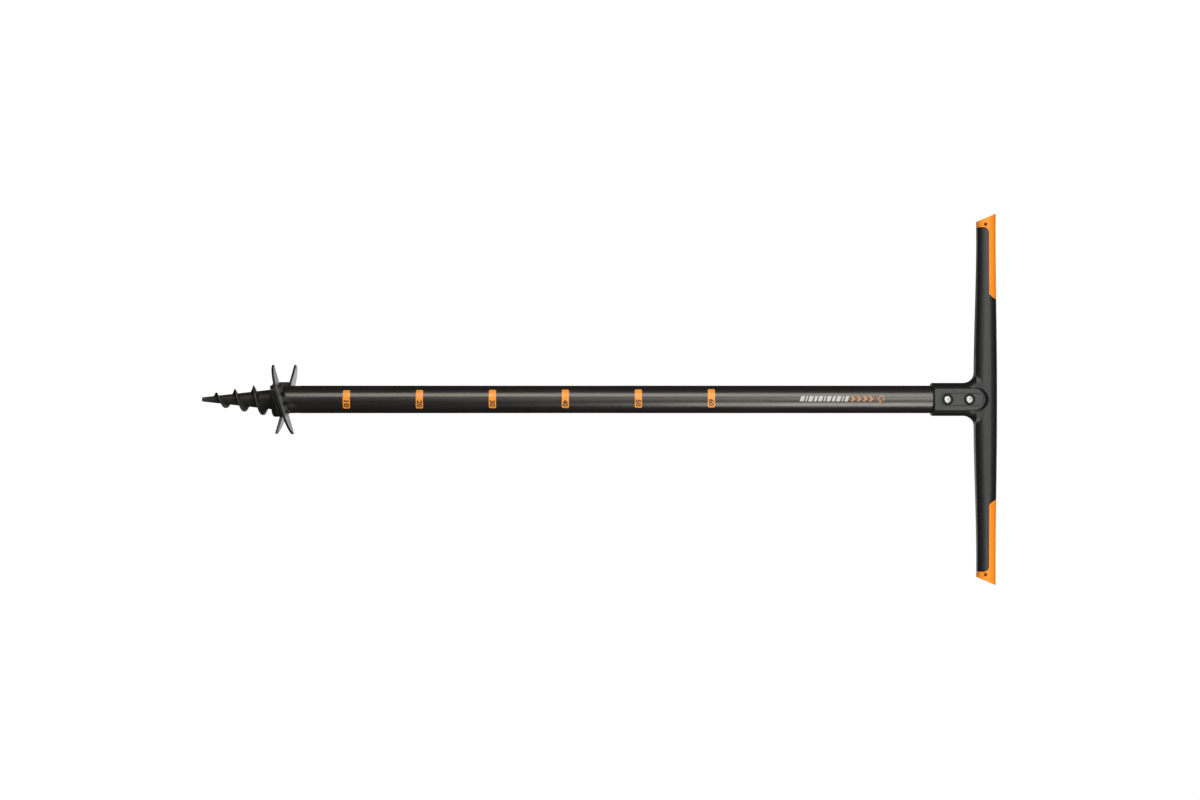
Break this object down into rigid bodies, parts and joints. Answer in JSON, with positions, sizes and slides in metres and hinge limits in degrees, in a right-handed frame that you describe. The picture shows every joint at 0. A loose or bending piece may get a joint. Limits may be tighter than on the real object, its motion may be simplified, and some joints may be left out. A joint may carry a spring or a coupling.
{
  "type": "soil auger",
  "caption": "Hand soil auger: tapered screw point, half-disc cutters on a hub, painted steel shaft with depth labels, T-handle with soft grip and end inserts.",
  "frame": {"origin": "the tip of the screw point, on the shaft's axis", "axes": "+Z along the shaft from the point to the handle, X along the handle, -Y is the front with the handle screws"},
  "size_m": [0.5118, 0.1, 1.0949],
  "materials": {
    "cast_black": "black coated casting, satin, slightly worn on the edges",
    "zinc_steel": "zinc plated steel",
    "blade_steel": "hardened spring steel with ground faces and dark edges",
    "bolt_steel": "dark zinc plated bolts",
    "graphite_paint": "graphite metallic powder coat, semi gloss",
    "black_plastic": "moulded nylon",
    "core_plastic": "glass filled nylon, fine spark texture",
    "grip_rubber": "soft touch overmould, satin",
    "orange_plastic": "hard orange moulding, satin gloss",
    "screw_chrome": "bright plated screws",
    "label_orange": "orange printed film"
  },
  "bodies": {
    "root": {"pilot_screw": "cast_black", "blade_hub": "cast_black", "hub_cross_pin": "zinc_steel", "front_blade": "blade_steel", "back_blade": "blade_steel", "blade_bolts": "bolt_steel", "shaft_tube": "graphite_paint", "tube_head_plug": "black_plastic", "clamp_sleeves": "zinc_steel", "crossbar_tube": "zinc_steel", "handle_core": "core_plastic", "grip_overmould": "grip_rubber", "left_end_insert": "orange_plastic", "right_end_insert": "orange_plastic", "handle_screws": "screw_chrome", "handle_lock_nuts": "zinc_steel", "depth_label_10": "label_orange", "depth_label_20": "label_orange", "depth_label_30": "label_orange", "depth_label_40": "label_orange", "depth_label_50": "label_orange", "depth_label_60": "label_orange"}
  },
  "joints": []
}
